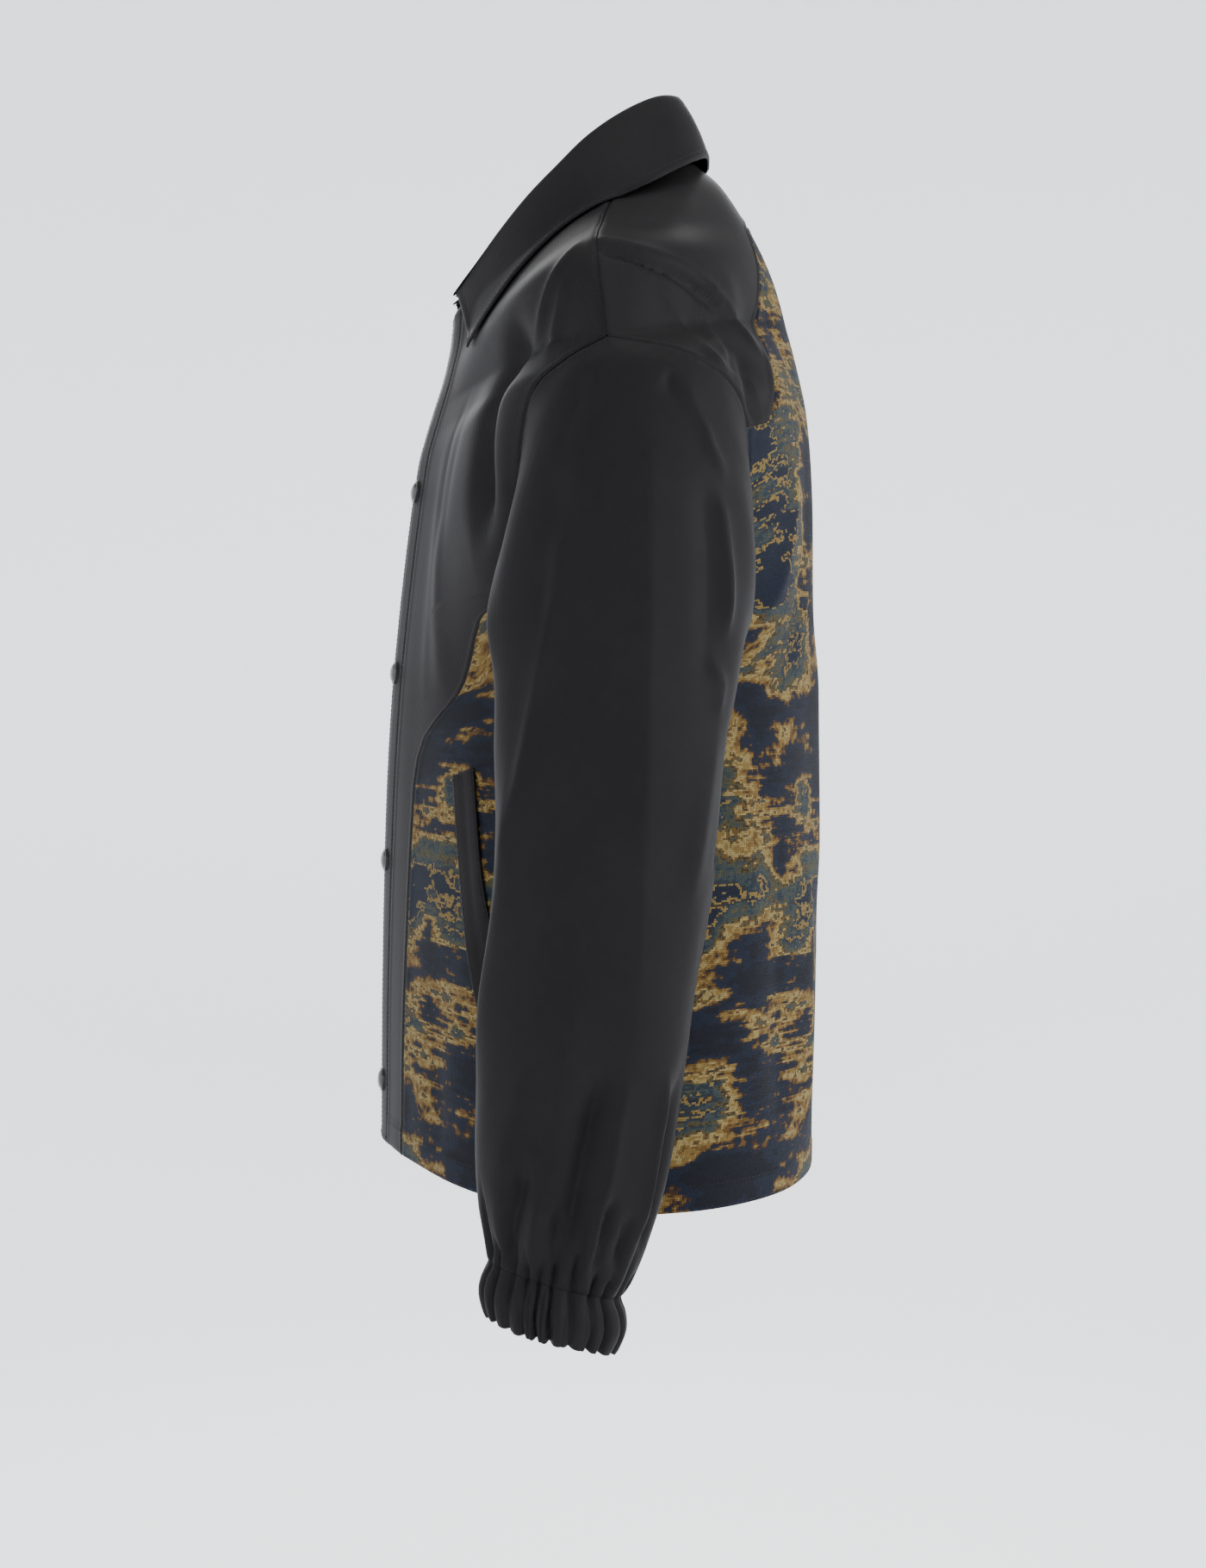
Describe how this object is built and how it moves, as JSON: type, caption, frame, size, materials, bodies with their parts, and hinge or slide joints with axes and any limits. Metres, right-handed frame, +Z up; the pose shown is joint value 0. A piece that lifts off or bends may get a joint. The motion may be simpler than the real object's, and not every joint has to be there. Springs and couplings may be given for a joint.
{
  "type": "coach jacket",
  "caption": "Worn-shape coach jacket, hollow, with fold-over collar, snap front, patterned back and side fronts, slanted pocket welts and gathered cuffs.",
  "frame": {"origin": "on the centre plane, level with the points where neck and shoulder meet", "axes": "+Z up, the front faces -Y, the wearer's left is +X"},
  "size_m": [0.6034, 0.295, 0.7805],
  "materials": {
    "black_cloth": "smooth poly-cotton twill, soft low sheen",
    "patterned_cloth": "jacquard weave in navy, teal, ochre and sand, matte",
    "snap_metal": "dark lacquered cap, satin"
  },
  "bodies": {
    "root": {"front_left": "black_cloth", "front_right": "black_cloth", "placket_left": "black_cloth", "placket_right": "black_cloth", "pocket_welt_left": "black_cloth", "pocket_welt_right": "black_cloth", "back_yoke": "black_cloth", "sleeve_left": "black_cloth", "sleeve_right": "black_cloth", "cuff_left": "black_cloth", "cuff_right": "black_cloth", "collar_stand": "black_cloth", "collar_fall": "black_cloth", "side_front_left": "patterned_cloth", "side_front_right": "patterned_cloth", "back_panel": "patterned_cloth", "snap_cap_1": "snap_metal", "snap_cap_2": "snap_metal", "snap_cap_3": "snap_metal", "snap_cap_4": "snap_metal"}
  },
  "joints": []
}
